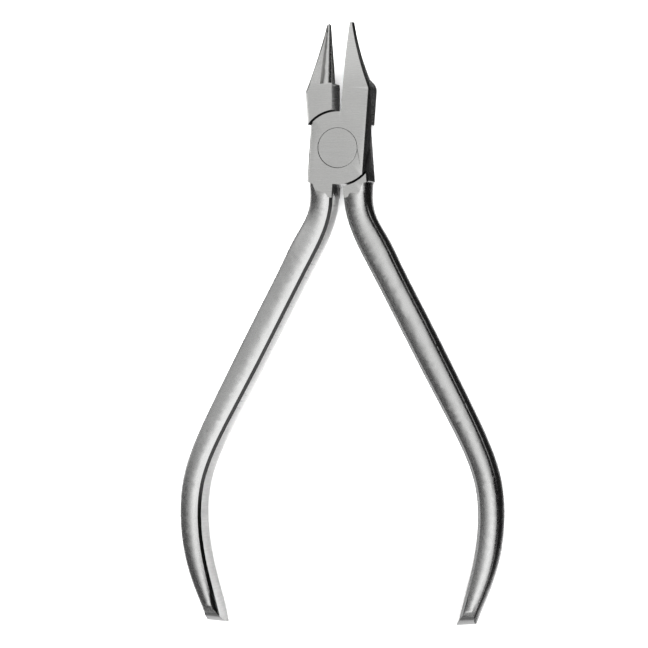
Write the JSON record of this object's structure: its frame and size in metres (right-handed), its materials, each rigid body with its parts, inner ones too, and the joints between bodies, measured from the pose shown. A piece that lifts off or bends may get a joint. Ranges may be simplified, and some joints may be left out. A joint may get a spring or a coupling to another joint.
{
  "type": "bird-beak forming pliers",
  "caption": "Small lap-joint steel pliers with a round cone beak, a flat pyramid beak and long bowed handles, for bending loops and angles in thin wire.",
  "frame": {"origin": "on the pivot axis, at the back face of the joint, on which the pliers lie", "axes": "+X across the jaws towards the flat beak, +Y along the pliers towards the tips, +Z from the back face up to the front face"},
  "size_m": [0.071, 0.1302, 0.0088],
  "materials": {
    "satin_steel": "satin ground and blasted stainless steel",
    "rivet_steel": "ground flush with the joint's front face"
  },
  "bodies": {
    "cone_half": {"cone_beak_half": "satin_steel", "hinge_rivet": "rivet_steel"},
    "flat_half": {"flat_beak_half": "satin_steel"}
  },
  "joints": [
    {"name": "jaw_pivot", "type": "hinge", "parent": "cone_half", "child": "flat_half", "pos_m": [0, 0, 0], "axis": [0, 0, -1], "range_deg": [-8.5, 60]}
  ]
}
